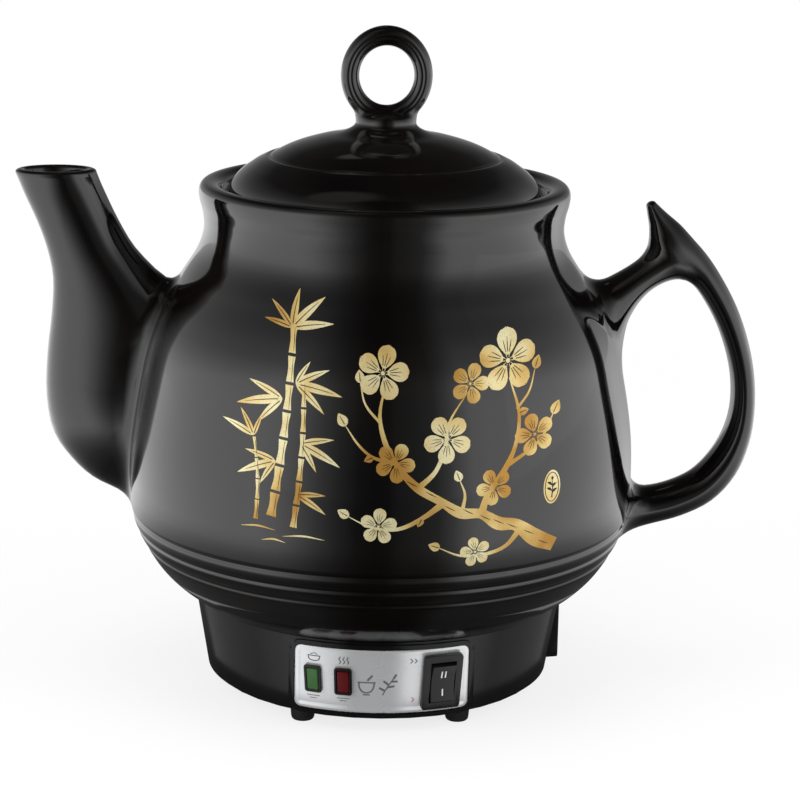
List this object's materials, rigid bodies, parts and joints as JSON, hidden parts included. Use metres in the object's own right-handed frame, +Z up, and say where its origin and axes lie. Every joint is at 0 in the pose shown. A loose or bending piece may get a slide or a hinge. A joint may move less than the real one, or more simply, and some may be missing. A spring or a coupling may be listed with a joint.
{
  "type": "electric herbal medicine pot",
  "caption": "Glazed ceramic pot with a spout, a ring handle and a lift-off lid, fixed on a round electric base with a rocker switch and indicator lamps.",
  "frame": {"origin": "on the pot's axis at table level, under the middle of the base", "axes": "+Z up, +X towards the handle, -X towards the spout, -Y towards the control panel"},
  "size_m": [0.3099, 0.2108, 0.2767],
  "materials": {
    "black_glaze": "gloss glaze",
    "black_plastic": "satin gloss",
    "switch_plastic": "satin",
    "grey_silicone": "matt",
    "black_rubber": "matt",
    "brushed_aluminium": "brushed",
    "cast_aluminium": "as cast",
    "bright_steel": "bright",
    "plated_brass": "plated",
    "green_lens": "clear gloss",
    "red_lens": "clear gloss",
    "neon_glass": "clear",
    "circuit_board": "matt",
    "brown_phenolic": "satin"
  },
  "bodies": {
    "pot": {"ceramic_pot": "black_glaze", "base_skirt": "black_plastic", "skirt_seal": "grey_silicone", "bottom_cover": "black_plastic", "cover_screw_1": "bright_steel", "cover_screw_2": "bright_steel", "cover_screw_3": "bright_steel", "foot_1": "black_rubber", "foot_2": "black_rubber", "foot_3": "black_rubber", "foot_4": "black_rubber", "foot_5": "black_rubber", "foot_6": "black_rubber", "heating_plate": "cast_aluminium", "heater_tube": "bright_steel", "heat_shield": "bright_steel", "press_bridge": "bright_steel", "bridge_screw_1": "bright_steel", "bridge_screw_2": "bright_steel", "thermostat_high": "brown_phenolic", "thermostat_warm": "brown_phenolic", "thermal_fuse": "brown_phenolic", "control_plate": "brushed_aluminium", "switch_housing": "switch_plastic", "switch_tab_1": "plated_brass", "switch_tab_2": "plated_brass", "switch_tab_3": "plated_brass", "warm_lamp_frame": "switch_plastic", "warm_lamp_lens": "green_lens", "warm_neon": "neon_glass", "heat_lamp_frame": "switch_plastic", "heat_lamp_lens": "red_lens", "heat_neon": "neon_glass", "lamp_board": "circuit_board", "inlet_socket": "switch_plastic", "inlet_pin_line": "plated_brass", "inlet_pin_earth": "plated_brass", "inlet_pin_neutral": "plated_brass", "terminal_block": "brown_phenolic"},
    "lid": {"lid": "black_glaze"},
    "rocker": {"switch_rocker": "switch_plastic"}
  },
  "joints": [
    {"name": "lid_lift", "type": "slide", "parent": "pot", "child": "lid", "axis": [0, 0, 1], "range_m": [0, 0.1]},
    {"name": "rocker_tilt", "type": "hinge", "parent": "pot", "child": "rocker", "pos_m": [0.02372, -0.07142, 0.02289], "axis": [0.949, 0.3152, 0], "range_deg": [-9, 9]}
  ]
}
